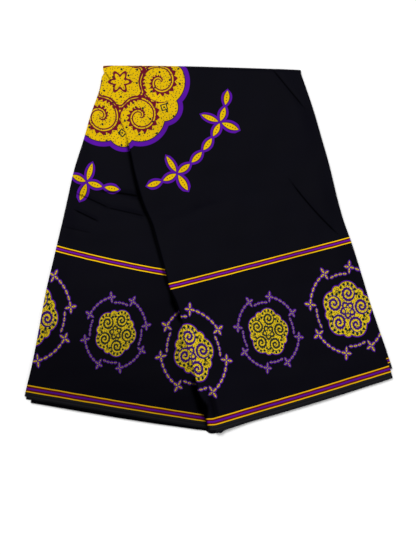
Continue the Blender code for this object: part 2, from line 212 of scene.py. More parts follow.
# Broad soft waves in the front: height and length in millimetres, direction in degrees, and phase.
WAVES = (
    (0.90, 210, 20, 0.4),
    (0.60, 140, 115, 1.9),
    (0.45, 92, 65, 4.2),
    (0.28, 61, 160, 2.6),
    (0.14, 38, 100, 5.5),
)
WAVE_EDGE = 25 * MM

# The printed lines that the leaves' grain is read from, in millimetres: where the middle of the upper
# and of the lower stripe runs on each leaf, as two points, and how far it sags between them.
STRIPE_LINES = {
    "left": (((-234.1, 1.4), (-67.8, -35.2), 1.9), ((-279.4, -214.2), (-6.2, -260.2), 0.6)),
    "right": (((-63.1, -57.8), (217.1, 14.6), 0.5), ((9.7, -264.4), (278.7, -183.9), 0.9)),
}
LOWER_STRIPE, UPPER_STRIPE = 18 * MM, 235 * MM

# The border's motifs repeat along the stripes. Where one of the large ones lies, and their spacing.
BORDER_SPACING = 128 * MM
BORDER_ORIGIN = {"left": (-16.9 * MM, -156.3 * MM), "right": (-32.3 * MM, -156.3 * MM)}
BORDER_STRETCH = {"left": 0.985, "right": 1.008}
BORDER_NARROWER = 1.22
SMALLER_BY = 0.19
GARLAND_CORE, BORDER_CORE, CORE_THINNER = 0.5, 0.37, 0.12  # the yellow's share of a leaf's half width
BORDER_ZONE = (30.0, 224.0)  # in millimetres up from the selvedge

# The cloth's own looks, in millimetres: where the woven selvedge starts, its ribs, the weave, how soft the
# ground's change of black is at the stripes, and how far the print wanders.
RAW_EDGE, SELVEDGE_RIB, WEAVE_PITCH, GROUND_SOFT, PRINT_WANDERS = 2.6, 4.2, 0.9, 6.0, 0.8
SELVEDGE_BRIGHT, SELVEDGE_DIM = 1.5, 0.6

# The scales, detail and roughness of its noises, by millimetre, and how much they lighten it and from what.
WANDER_NOISE, FADE_NOISE, STREAK_NOISE = (0.05, 3.0), (0.02, 4.0, 0.6), (0.8, 2.0)
FADE, FADE_FROM = 0.50, 0.75
STREAK, STREAK_FROM = 0.25, 0.87
STREAK_SCALES = (0.25, 3.0)  # along the threads and across them
# The sheen and the share of it that the left leaf's painted shade takes away, then roughness and relief.
SHEEN, SHEEN_LOST = 0.027, 0.8
ROUGHNESS, ROUGHER = 0.50, 0.12
RELIEF, RELIEF_STRENGTH, WEAVE_DEPTH = 0.12 * MM, 0.35, 0.35

# Near the pleat's lower end the right leaf rolls, which lifts its stripe.
TIP_LIFT = 3.0 * MM
TIP_REACH = 15 * MM
TIP_START, TIP_OVER = -190 * MM, 40 * MM

# The large motif's middle, and how much of the print the pleat hides, in millimetres by y.
MOTIF_CENTRE = (-137 * MM, 258 * MM)
HIDDEN_PRINT = np.array(((-285, 17), (95, 12), (212, 0), (290, 0)))

# The inner layers: doubled cloth, nested in the outer one.
INNER_SHEETS = 6
INNER_FILL = 0.82
INNER_ROWS = 72
INNER_ROLL_STEPS = 8
INNER_ROLL_DEPTH, INNER_ROLL_SHRINKS = ROLL_DEPTH - 1.2 * MM, 0.92
INNER_FLOOR = FLOOR_GAP + CLOTH + 0.1 * MM
HEM_POINTS = 581
HEM_X = np.linspace(-0.29, 0.29, HEM_POINTS)

# Their sides lie unevenly just inside the outline, and further in at the lower left corner. On the left
# each of the first few ends a little lower than the one above, and all hang lower beside the pleat's tip.
SIDE_INSET, SIDE_VARIES, SIDE_WOBBLE, HEM_WOBBLE = 0.5 * MM, 1.8 * MM, 0.35 * MM, 0.4 * MM
LEFT_CORNER_INSET, LEFT_CORNER_START, LEFT_CORNER_OVER = 8.0 * MM, 0.86, 0.12
STEP_START, STEP, STEPS = 1.0 * MM, 0.5 * MM, 3
PRINT_SHIFT, PRINT_SHIFT_UP = 60 * MM, 4 * MM  # the most that an inner layer's print is moved
TIP_SHARES = (1.0, 0.7, 0.9, 0.5)
TIP_DROP = np.array([
    # x, drop, in millimetres
    (-4, 0), (0, 0.4), (1.5, 1.3), (4.6, 2.7), (8, 3.2), (14, 3.3),
    (15.6, 2.6), (17, 4.4), (20, 4), (22.5, 2), (30, 0.8), (60, 0),
])

# The first one's lower right corner lies higher than the others'.
SLIVER_RISE, SLIVER_FROM_X, SLIVER_OVER = 15.5 * MM, 0.2, 0.06
SLIVER_INSET = ((0.88, 0.92), (0.9 * MM, -0.3 * MM))  # by section

# How they keep clear of the front: under the side folds' lips, beside the tuck and under the creases.
NARROW_LEAF = 48 * MM
SHOULDER_START = 6.4 * MM
SHOULDER_END = 9.5 * MM
SUPPORT_GAP = 0.25 * MM
TUCK_ROOM, TUCK_STEP = 2.5 * MM, 3 * MM
BEFORE_DIP, AFTER_TUCK = 26 * MM, 24 * MM
CREASE_ROOM = 1.3 * MM
ROOM_START, ROOM_WIDTH = 6 * MM, 22 * MM
RNG = np.random.default_rng(7)


def smooth(value):
    """Eases from 0 to 1 as value goes from 0 to 1, and stays there outside."""
    value = np.clip(value, 0.0, 1.0)
    return value * value * (3 - 2 * value)


def hermite(stations, points, at):
    """Points on a smooth curve through the table's points."""
    slopes = np.gradient(points, stations, axis=0)
    index = np.clip(np.searchsorted(stations, at, side="right") - 1, 0, len(stations) - 2)
    span = (stations[index + 1] - stations[index])[:, None]
    f = (at - stations[index])[:, None] / span
    return (
        points[index] * (1 + 2 * f) * (1 - f) ** 2
        + slopes[index] * span * f * (1 - f) ** 2
        + points[index + 1] * f * f * (3 - 2 * f)
        + slopes[index + 1] * span * f * f * (f - 1)
    )


FINE = np.linspace(SECTIONS[0, 0], SECTIONS[-1, 0], 401)
EDGES = {
    name: hermite(SECTIONS[:, 0], SECTIONS[:, column : column + 2] * MM, FINE)
    for name, column in (("left", 1), ("pleat", 3), ("right", 5))
}
EDGES["left"][:, 0] += NOTCH_DEPTH * np.exp(-(((EDGES["left"][:, 1] - NOTCH_Y) / NOTCH_WIDTH) ** 2))
LEAF_LENGTH = PLEAT_START_Y - SECTIONS[-1, 4] * MM
ROLL_SECTION = float(np.interp(-(SECTIONS[0, 2] * MM - ROLL_DEPTH), -EDGES["left"][:, 1], FINE))


def looked_up(table, at, column=1):
    """A table's column in metres, at these values of its first column."""
    return np.interp(at, table[:, 0], table[:, column]) * MM


def edge(name, section):
    """The x and y of an edge at these sections."""
    return np.interp(section, FINE, EDGES[name][:, 0]), np.interp(section, FINE, EDGES[name][:, 1])


def edges(section):
    """The left edge, the pleat's edge and the right edge."""
    return [edge(name, section) for name in ("left", "pleat", "right")]


def edge_x(name, y):
    return np.interp(y, EDGES[name][::-1, 1], EDGES[name][::-1, 0])


def section_at(y):
    return np.interp(y, EDGES["pleat"][::-1, 1], FINE[::-1])


def hem_nearness(section):
    """0 above the section where rows move for the hem, and from there up to 1 at the hem."""
    return np.clip((section - HEM_SHIFT_START) / (1 - HEM_SHIFT_START), 0, None)


def lift_at(section):
    return looked_up(PLEAT_SECTIONS, section)


def tuck_at(section):
    return looked_up(PLEAT_SECTIONS, section, 2)


def bow(x, section):
    """How far a row sags below its straight line, most at the selvedge."""
    (left, _), (pleat, _), (right, _) = edges(section)
    share = np.where(x < pleat, (x - left) / (pleat - left), (x - pleat) / (right - pleat))
    hump = np.clip(4 * share * (1 - share), 0, None)
    rise = LEFT_RISE * np.where(x < pleat, np.clip(share, 0, 1), 0)
    sag = np.where(x < pleat, HEM_BOW["left"], HEM_BOW["right"]) * hump
    top = TOP_BOW * np.where(x < pleat, 0, hump) * np.clip(section / SECTIONS[0, 0], 0, 1)
    return (sag - rise) * np.clip(section, 0, None) ** 2 - top


def row_y(x, section):
    """The y of a row at this x: straight from the left edge to the pleat and on to the right edge."""
    (lx, ly), (px, py), (rx, ry) = edges(section)
    on_left = ly + (py - ly) * (x - lx) / (px - lx)
    on_right = py + (ry - py) * (x - px) / (rx - px)
    return np.where(x < px, on_left, on_right) - bow(x, section)


def side_distance(x, y):
    return np.minimum(x - edge_x("left", y), edge_x("right", y) - x)


def base_height(x, y):
    """The stack's upper face, without the pleat and the creases."""
    top_y, bottom_y = EDGES["left"][0, 1], EDGES["pleat"][-1, 1]
    body = HEIGHT_AT_HEM + (HEIGHT_AT_TOP - HEIGHT_AT_HEM) * (y - bottom_y) / (top_y - bottom_y)
    nearness = np.minimum(side_distance(x, y) / SIDE_SLOPE_WIDTH, (y - row_y(x, 1.0)) / HEM_SLOPE_WIDTH)
    return body - EDGE_DROP * (1 - smooth(nearness))


def pleat_fade(y):
    """The pleat's lift dies out above its start."""
    return 1 - smooth((y - PLEAT_START_Y) / PLEAT_FADE)


def pleat_swell(x, y):
    """How far the right leaf is lifted over the tuck."""
    across = x - edge_x("pleat", y)
    return lift_at(section_at(y)) * (1 - smooth(across / PLEAT_WIDTH)) * pleat_fade(y)


def direction(ax, ay, bx, by):
    """Half the length of the way from a to b, and its unit direction."""
    half = math.hypot(bx - ax, by - ay) / 2
    return half, (bx - ax) / (2 * half), (by - ay) / (2 * half)


def crease_places(x, y, crease):
    """How far across from a crease a place lies, and how far along it, from -1 to 1."""
    ax, ay, bx, by, bulge = (value * MM for value in crease[1:6])
    half, way_x, way_y = direction(ax, ay, bx, by)
    from_x, from_y = x - (ax + bx) / 2, y - (ay + by) / 2
    along = (from_x * way_x + from_y * way_y) / half
    return from_y * way_x - from_x * way_y - bulge * (1 - along**2), along


def relief(x, y, leaf):
    """The soft waves and a leaf's creases, or both leaves', as a height above the even face."""
    height = np.zeros(np.shape(x))
    for rise, length, degrees, phase in WAVES:
        turn = math.radians(degrees)
        travel = x * math.cos(turn) + y * math.sin(turn)
        height = height + rise * MM * np.sin(2 * math.pi * travel / (length * MM) + phase)
    height = height * smooth(side_distance(x, y) / WAVE_EDGE)
    for crease in CREASES:
        if leaf not in (crease[0], "both"):
            continue
        start_depth, end_depth, width = (value * MM for value in crease[6:9])
        across, along = crease_places(x, y, crease)
        depth = start_depth + (end_depth - start_depth) * (np.clip(along, -1, 1) + 1) / 2
        ends = smooth((1 - np.abs(along)) / CREASE_ENDS)
        height = height - depth * np.exp(-((across / width) ** 2)) * ends
    return height


def pleat_dip(x, y):
    """How far the left leaf dips towards the pleat, and on under the right leaf."""
    depth = looked_up(PLEAT_SECTIONS, section_at(y), 3)
    return depth * smooth((x - edge_x("pleat", y)) / DIP_WIDTH + 1)


def half_turn(steps):
    """The angles of a round fold's points, from straight down to straight up."""
    return [math.pi * (step / steps - 0.5) for step in range(steps + 1)]


def pleat_path(section, fade):
    """The pleat's cross-section for each row, from the left leaf under the right one, back to the
    rolled edge and on to the right leaf. Offsets across from the pleat's edge, and up."""
    lift, tuck = lift_at(section) * fade, tuck_at(section)
    roll = np.maximum(lift - 2 * INNER_FOLD, 0) / 2
    fold_x = tuck - INNER_FOLD
    points = [(share * (fold_x + PLEAT_SIDE) - PLEAT_SIDE, 0) for share in (0, 0.3, 0.6, 0.85)]
    for angle in half_turn(FOLD_STEPS):
        points.append((fold_x + INNER_FOLD * math.cos(angle), INNER_FOLD * (1 + math.sin(angle))))
    for share in (0.35, 0.7):
        points.append((fold_x * (1 - share) + NOSE_DEPTH * share, 2 * INNER_FOLD))
    for angle in half_turn(NOSE_STEPS):
        points.append((NOSE_DEPTH * (1 - math.cos(angle)), 2 * INNER_FOLD + roll * (1 + math.sin(angle))))
    points.append((PLEAT_SIDE, lift))
    across, up = (np.stack([value + 0 * lift for value in values], 1) for values in zip(*points))
    open_share = smooth(section / PLEAT_OPENS)[:, None]
    even = np.linspace(0, 1, across.shape[1])
    flat_across = -PLEAT_SIDE + 2 * PLEAT_SIDE * even
    flat_up = lift[:, None] * smooth(even)
    return across * open_share + flat_across * (1 - open_share), up * open_share + flat_up * (1 - open_share)


def turned_edge():
    """The side fold's columns from its lip's end to the upper face, as (inward, down) pairs."""
    points = [(TURN_RADIUS + TURN_LIP * (1 - k / LIP_STEPS), 2 * TURN_RADIUS) for k in range(LIP_STEPS)]
    for step in range(TURN_STEPS + 1):
        angle = math.pi * step / TURN_STEPS
        points.append((TURN_RADIUS * (1 - math.sin(angle)), TURN_RADIUS * (1 + math.cos(angle))))
    return np.array(points)


def plan_rows(section):
    """The front's columns at these sections: x, how far under the face, height above it, and which
    zone each is in: left, pleat or right."""
    (lx, _), (px, py), (rx, _) = edges(section)
    across, up = pleat_path(section, pleat_fade(py))
    rx = rx - looked_up(RIGHT_DRAWN_IN, section) - CLOTH / 2
    lx, px, rx = lx[:, None] + CLOTH / 2, px[:, None], rx[:, None]
    turn = turned_edge()
    left_shares = np.linspace(0, 1, LEFT_COLUMNS + 1)[1:-1]
    right_shares = np.linspace(0, 1, RIGHT_COLUMNS + 1)[1:-1] ** FINER_AT_PLEAT
    left_start, left_end = lx + TURN_RADIUS, px - PLEAT_SIDE
    right_start, right_end = px + PLEAT_SIDE, rx - TURN_RADIUS
    parts = (
        lx + turn[:, 0],
        left_start + (left_end - left_start) * left_shares,
        px + across,
        right_start + (right_end - right_start) * right_shares,
        rx - turn[::-1, 0],
    )
    x = np.concatenate(parts, axis=1)
    turns, tucks = len(turn), across.shape[1]
    flat = np.zeros(x.shape[1] - 2 * turns)
    down = np.concatenate((turn[:, 1], flat, turn[::-1, 1])) + np.zeros(x.shape)
    rise = np.zeros(x.shape)
    first = turns + len(left_shares)
    rise[:, first : first + tucks] = up
    zone = np.array(["left"] * first + ["pleat"] * tucks + ["right"] * (len(right_shares) + turns))
    return x, down, rise, zone


def signed_distance(x, y, line):
    """How far above a sagging line a place lies. The line is its ends and its sag, in millimetres."""
    (ax, ay), (bx, by) = np.array(line[:2]) * MM
    length = math.hypot(bx - ax, by - ay)
    share = np.clip((x - ax) / (bx - ax), 0, 1)
    sag = 4 * line[2] * MM * share * (1 - share)
    return ((bx - ax) * (y - ay) - (by - ay) * (x - ax)) / length + sag


def leaf_print(name, x, y):
    """The print's coordinates on a leaf: along the stripes, and up from the selvedge."""
    upper, lower = STRIPE_LINES[name]
    above_lower = signed_distance(x, y, lower)
    below_upper = -signed_distance(x, y, upper)
    v = LOWER_STRIPE + (UPPER_STRIPE - LOWER_STRIPE) * above_lower / (above_lower + below_upper)
    angles = [math.atan2(b[1] - a[1], b[0] - a[0]) for a, b, _ in (upper, lower)]
    angle = sum(angles) / 2
    origin = BORDER_ORIGIN[name]
    u = ((x - origin[0]) * math.cos(angle) + (y - origin[1]) * math.sin(angle)) * BORDER_STRETCH[name]
    if name == "right":
        near = 1 - smooth((x - edge_x("pleat", y)) / TIP_REACH)
        v = v - TIP_LIFT * near * smooth((TIP_START - y) / TIP_OVER)
    return u, v


def path_share(across, up):
    """How far along the pleat's cross-section each of its points lies, from 0 to 1."""
    steps = np.hypot(np.diff(across, axis=1), np.diff(up, axis=1))
    travelled = np.concatenate((np.zeros((len(across), 1)), np.cumsum(steps, axis=1)), axis=1)
    return travelled / travelled[:, -1:]


def through_pleat(on_left, on_right, share, first):
    """A print coordinate across the rows: each leaf's own up to where the tuck hides it, and an even
    change between the two inside the tuck."""
    hides, shows = first + TUCK_HIDES, first + TUCK_SHOWS
    grid = np.concatenate((on_left[:, : hides + 1], on_right[:, hides + 1 :]), axis=1)
    span = share[:, TUCK_HIDES : TUCK_SHOWS + 1]
    part = (span - span[:, :1]) / (span[:, -1:] - span[:, :1])
    start, end = on_left[:, hides : hides + 1], on_right[:, shows : shows + 1]
    grid[:, hides : shows + 1] = start + (end - start) * part
    return grid


def fold_shade(from_edge, y):
    """The deep shade beside the pleat's edge, from 0 to 1."""
    left, right = (looked_up(FOLD_SHADE[::-1], y / MM, column) for column in (1, 2))
    on_left = np.clip((from_edge + left) / SHADE_SOFT_LEFT + 0.5, 0, 1)
    on_right = np.clip((right - from_edge) / SHADE_SOFT_RIGHT + 0.5, 0, 1)
    return on_left * on_right


def front_height(x, y, passed, in_right):
    """The front's face: the stack's own with the pleat's swell and dip, the waves and the creases."""
    face_x = np.clip(x, edge_x("left", y) + TURN_RADIUS, edge_x("right", y) - TURN_RADIUS)
    left, right = relief(face_x, y, "left") - pleat_dip(x, y), relief(face_x, y, "right")
    swell = pleat_swell(face_x, y) * in_right
    return base_height(face_x, y) + swell + left * (1 - passed) + right * passed


def front_print(x, y, share, first):
    """The print's coordinates: along the stripes, up from the selvedge and across from the motif."""
    from_motif = x - MOTIF_CENTRE[0]
    on_left = (*leaf_print("left", x, y), from_motif - looked_up(HIDDEN_PRINT, y / MM))
    on_right = (*leaf_print("right", x, y), from_motif)
    return (through_pleat(a, b, share, first) for a, b in zip(on_left, on_right))


def front_shades(from_pleat, y, v, passed, in_left):
    """The painted shade in the deep places, and how much painted shade darkens the left leaf."""
    fold = fold_shade(from_pleat, y) * (pleat_fade(y) > 0)
    at_hem = HEM_SHADE * smooth((HEM_SHADE_REACH - v) / HEM_SHADE_SOFT) * in_left
    return np.maximum(fold, at_hem), LEFT_SHADE_BY * smooth((LEFT_SHADE_FROM - y) / LEFT_SHADE_OVER) * (1 - passed)


def front_points():
    """The front as grids: its middle surface, how far under its face it lies, its print and its shades."""
    section = np.linspace(1.0, ROLL_SECTION, FRONT_ROWS)
    x, down, rise, zone = plan_rows(section)
    in_left, tucked, in_right = (zone == name for name in ("left", "pleat", "right"))
    rows = section[:, None] + 0 * x
    pleat_x, pleat_y = edge("pleat", section)
    share = path_share(*pleat_path(section, pleat_fade(pleat_y)))
    from_pleat = x - pleat_x[:, None]
    passed = in_right + 0 * x  # 0 on the left leaf, 1 on the right one, and between in the pleat
    passed[:, tucked] = smooth(share)

    on_edge = row_y(x - from_pleat, rows)
    slope = row_y(x - from_pleat + MM, rows) - on_edge
    y = np.where(tucked, on_edge + slope * np.clip(from_pleat / MM, 0, None), row_y(x, rows))
    y = y + LEFT_RISE * tucked * (1 - passed) * np.clip(rows, 0, None) ** 2
    y = y + looked_up(FRONT_HEM, x / MM) * smooth(hem_nearness(rows))
    z = front_height(x, y, passed, in_right) + rise - CLOTH / 2
    u, v, mx = front_print(x, y, share, int(np.argmax(tucked)))
    shade, left_shade = front_shades(from_pleat, y, v, passed, in_left)
    my = y - MOTIF_CENTRE[1]
    return dict(x=x, y=y, z=z, down=down, u=u, v=v, mx=mx, my=my, shade=shade, left_shade=left_shade)


def roll_angles(steps):
    """The angles between the ends of a fold of half a turn, one to a row."""
    return (math.pi * np.arange(1, steps) / steps)[:, None]


def back_points(front, half, height):
    """The flat back as grids like the front's, from the roll down to the back's hem. Its side folds keep
    their width, and the columns between them spread."""
    x, y, my = (front[key][-1] for key in ("x", "y", "my"))
    section = np.linspace(ROLL_SECTION, 1 - BACK_HEM_INSET / LEAF_LENGTH, BACK_ROWS)
    section = np.sort(np.concatenate((section, ROLL_SECTION + np.array(NEAR_NOTCH))))[:, None]
    left, right = edge("left", section)[0], edge("right", section)[0] - looked_up(RIGHT_DRAWN_IN, section)
    inset = BACK_SIDE_INSET * smooth((section - ROLL_SECTION) / BACK_INSET_OVER)
    from_left, from_right = x - left[0], right[0] - x
    spread_x = left + inset + (right - left - 2 * inset) * from_left / (right[0] - left[0])
    folded = np.minimum(from_left, from_right) < TURN_RADIUS + TURN_LIP + CLOTH
    kept_x = np.where(from_left < from_right, left + inset + from_left, right - inset - from_right)
    back = {key: np.repeat(grid[-1:], len(section), axis=0) for key, grid in front.items()}
    back["x"] = np.where(folded, kept_x, spread_x)
    back["y"] = row_y(back["x"], section + 0 * spread_x)
    back["z"] = height + 0 * spread_x
    back["mx"] = back["x"] - MOTIF_CENTRE[0]
    back["my"] = my + math.pi * half + y - back["y"]
    back["u"] = back["x"] - edge("pleat", section)[0]
    back["v"] = (1 - section) * LEAF_LENGTH + 0 * spread_x
    return back


def over_the_top(front):
    """Adds the roll and the back to the front's rows."""
    back_height = FLOOR_GAP + CLOTH / 2
    y, z, my = (front[key][-1] for key in ("y", "z", "my"))
    middle, half = (z + back_height) / 2, (z - back_height) / 2
    angle = roll_angles(ROLL_STEPS)
    roll = {key: np.repeat(grid[-1:], len(angle), axis=0) for key, grid in front.items()}
    roll["y"] = y + ROLL_DEPTH * np.sin(angle)
    roll["z"] = middle + half * np.cos(angle)
    roll["my"] = my + half * angle
    back = back_points(front, half, back_height)
    sheet = {key: np.concatenate((front[key], roll[key], back[key][1:])) for key in front}
    turn = np.concatenate((np.zeros(FRONT_ROWS), angle[:, 0], np.full(len(back["x"]) - 1, math.pi)))
    sheet["y"] = sheet["y"] - sheet["down"] * np.sin(turn)[:, None]
    sheet["z"] = sheet["z"] - sheet["down"] * np.cos(turn)[:, None]
    return sheet


def in_scene(name, data):
    """A new object with this data, in the scene."""
    thing = bpy.data.objects.new(name, data)
    bpy.context.scene.collection.objects.link(thing)
    return thing


def grid_normals(points):
    """The unit normal at each point of a grid of points, up where the rows run down the page."""
    along_rows = np.gradient(points, axis=0)
    along_columns = np.gradient(points, axis=1)
    normals = np.cross(along_rows, along_columns)
    return normals / np.maximum(np.linalg.norm(normals, axis=2, keepdims=True), 1e-12)


def thick_sheet(name, points, uv_maps, thickness, material):
    """A closed sheet of this thickness about a grid of middle points, with the given UV maps."""
    rows, columns = points.shape[:2]
    normals = -grid_normals(points)
    half = np.broadcast_to(np.asarray(thickness) / 2, (rows, columns))[..., None]
    vertices = np.concatenate([(points + side * normals * half).reshape(-1, 3) for side in (1, -1)])
    index = np.arange(rows * columns).reshape(rows, columns)
    a, b, c, d = index[:-1, :-1], index[:-1, 1:], index[1:, 1:], index[1:, :-1]
    upper = np.stack((a, b, c, d), -1).reshape(-1, 4)
    lower = upper[:, ::-1] + rows * columns
    border = np.concatenate((index[0, :], index[1:, -1], index[-1, -2::-1], index[-2:0:-1, 0]))
    after = np.roll(border, -1)
    rim = np.stack((after, border, border + rows * columns, after + rows * columns), -1)
    faces = np.concatenate((upper, lower, rim))
    mesh = bpy.data.meshes.new(name)
    mesh.from_pydata(vertices.tolist(), [], faces.tolist())
    corners = faces.reshape(-1) % (rows * columns)
    for map_name, values in uv_maps.items():
        layer = mesh.uv_layers.new(name=map_name)
        layer.data.foreach_set("uv", values.reshape(-1, 2)[corners].astype(np.float32).ravel())
    mesh.validate()
    mesh.shade_smooth()
    mesh.set_sharp_from_angle(angle=math.radians(55))
    mesh.materials.append(material)
    return in_scene(name, mesh)


FRONT_MAPS = (
    ("points", ("x", "y", "z")),
    ("print", ("u", "v")),
    ("cloth", ("mx", "my")),
    ("shade", ("shade", "left_shade")),
)


def build_front(material):
    sheet = over_the_top(front_points())
    stacked = {name: np.stack([sheet[key] for key in keys], -1) for name, keys in FRONT_MAPS}
    return thick_sheet("front_cloth", stacked.pop("points"), stacked, CLOTH, material)


def support_height(x, y):
    """The upper face of what lies just below the front, lower under the side folds' lips."""
    from_step = x - edge_x("pleat", y) - tuck_at(section_at(y)) - TUCK_ROOM
    beside = np.clip(from_step / TUCK_STEP, 0, 1)
    shoulder = 1 - np.clip((side_distance(x, y) - SHOULDER_START) / (SHOULDER_END - SHOULDER_START), 0, 1)
    waves = np.minimum(relief(x, y, "both"), 0)
    from_edges = np.minimum(side_distance(x, y), y - row_y(x, 1.0))
    waves = waves - CREASE_ROOM * smooth((from_edges - ROOM_START) / ROOM_WIDTH)
    gap = CLOTH + SUPPORT_GAP + 2 * TURN_RADIUS * shoulder + pleat_dip(x, y) * (1 - beside)
    return base_height(x, y) + pleat_swell(x, y) * beside + waves - gap


def wobble(length, count):
    """A gentle random wave of unit size along an edge, as values at count places."""
    at = np.linspace(0, length, count)
    waves = [
        RNG.uniform(0.4, 1.0) * np.sin(2 * math.pi * at / RNG.uniform(0.07, 0.3) + RNG.uniform(0, 6.3))
        for _ in range(3)
    ]
    return sum(waves) / 2.0


INNER_SHARES = {
    "left": (0.25, 0.5, 0.75, 0.92),
    "tuck": (0.0, 0.2, 0.45, 0.75),
    "right": (0.06, 0.12, 0.2, 0.32, 0.45, 0.6, 0.75, 0.88),
}
INNER_EDGE = np.array((0.0, 0.07, 0.22, 0.45, 1.2, 4.0, 7.5, 11.0, 16.0)) * MM
DIP_COLUMNS = np.array((20.0, 14.0, 9.0, 5.0)) * MM
BESIDE_TUCK = np.array((2.5, 5.5, 7.6, 9.0, 12.0, 14.5, 18.0)) * MM
EDGE_ROUND = np.array((0.18, 0.62, 0.86, 0.98, 1.0, 1.0, 1.0, 1.0, 1.0))


def inner_plan(section, left_inset, right_inset, hem_rise):
    """Across an inner sheet: x and y of its columns at these sections."""
    (lx, _), (px, _), (rx, _) = edges(section)
    px = np.maximum(px, lx + NARROW_LEAF)
    lx, rx = lx + left_inset, rx - right_inset
    tuck = tuck_at(section)
    left_start, right_start = lx + INNER_EDGE[-1], px + tuck + AFTER_TUCK
    left_end, right_end = px - BEFORE_DIP, rx - INNER_EDGE[-1]
    columns = [lx + step for step in INNER_EDGE]
    columns += [left_start + (left_end - left_start) * share for share in INNER_SHARES["left"]]
    columns += [px - step for step in DIP_COLUMNS]
    columns += [px + (tuck + TUCK_ROOM) * share for share in INNER_SHARES["tuck"]]
    columns += [px + tuck + step for step in BESIDE_TUCK]
    columns += [right_start + (right_end - right_start) * share for share in INNER_SHARES["right"]]
    columns += [rx - step for step in INNER_EDGE[::-1]]
    x = np.stack(columns, 1)
    near_hem = hem_nearness(section)[:, None]
    y = row_y(x, section[:, None] + 0 * x)
    return x, y + np.interp(x, HEM_X, hem_rise) * near_hem


def inner_outline(number, section, hem_x):
    """How far an inner sheet's sides lie inside the outline, and its hem above it."""
    left, right = (
        SIDE_INSET + RNG.uniform(0.0, SIDE_VARIES) + SIDE_WOBBLE * wobble(0.56, INNER_ROWS) for _ in range(2)
    )
    left = left + LEFT_CORNER_INSET * smooth((section - LEFT_CORNER_START) / LEFT_CORNER_OVER)
    from_notch = (edge("left", section)[1] - NOTCH_Y) / NOTCH_WIDTH
    left = left + NOTCH_DEPTH * np.exp(-((from_notch / 2) ** 2))
    rise = (STEP_START - STEP * min(number, STEPS)) * (hem_x < 0) + HEM_WOBBLE * wobble(0.58, HEM_POINTS)
    rise = rise - TIP_SHARES[number % len(TIP_SHARES)] * looked_up(TIP_DROP, hem_x / MM)
    if number:
        return left, right + looked_up(RIGHT_DRAWN_IN, section), rise
    at_x, at_y = edge("right", section)
    raised = at_y + SLIVER_RISE * hem_nearness(section)
    right = at_x - edge_x("right", raised) + np.interp(section, *SLIVER_INSET)
    return left, right, rise + SLIVER_RISE * smooth((hem_x - SLIVER_FROM_X) / SLIVER_OVER)


def inner_sheet(number, material):
    """One of the doubled inner layers: up the front, over the top inside the roll and down the back."""
    share = (number + 0.5) / (2 * INNER_SHEETS)
    section = np.linspace(1.0, ROLL_SECTION, INNER_ROWS)
    x, y = inner_plan(section, *inner_outline(number, section, HEM_X))
    room = support_height(x, y) - INNER_FLOOR
    front_z, back_z = INNER_FLOOR + room * (1 - share), INNER_FLOOR + room * share
    pitch = room / (2 * INNER_SHEETS)
    middle, half = (front_z[-1] + back_z[-1]) / 2, (front_z[-1] - back_z[-1]) / 2
    depth = INNER_ROLL_DEPTH * (1 - INNER_ROLL_SHRINKS * share)
    angle = roll_angles(INNER_ROLL_STEPS)
    from_hem = (1 - section)[:, None] * LEAF_LENGTH + 0 * x
    grids = (
        (x, x[-1] + 0 * angle, x),
        (y, y[-1] + depth * np.sin(angle), y),
        (front_z, middle + half * np.cos(angle), back_z),
        (pitch, pitch[-1] + 0 * angle, pitch),
        (y, y[-1] + half * angle, 2 * y[-1] + math.pi * half - y),
        (from_hem, from_hem[-1] + 0 * angle, from_hem),
    )
    x, y, z, pitch, travel, v = (np.concatenate((a, b, c[::-1])) for a, b, c in grids)
    rounding = np.ones(x.shape[1])
    rounding[: len(EDGE_ROUND)] = EDGE_ROUND
    rounding[-len(EDGE_ROUND) :] = EDGE_ROUND[::-1]
    offset = RNG.uniform(-PRINT_SHIFT, PRINT_SHIFT)
    if number:
        v = v + RNG.uniform(-PRINT_SHIFT_UP, PRINT_SHIFT_UP)
    maps = {
        "print": np.stack((x + offset * 2, v), -1),
        "cloth": np.stack((x - MOTIF_CENTRE[0] + offset, travel - MOTIF_CENTRE[1]), -1),
        "shade": np.stack((HEM_SHADE * (x < 0), 0 * x), -1),
    }
    points = np.stack((x, y, z), -1)
    return thick_sheet(f"inner_layer_{number + 1}", points, maps, pitch * INNER_FILL * rounding, material)


def put(node, inputs):
    """Gives a node's inputs these sockets or values."""
    for key, value in inputs.items():
        if isinstance(value, bpy.types.NodeSocket):
            node.id_data.links.new(value, node.inputs[key])
        else:
            node.inputs[key].default_value = value


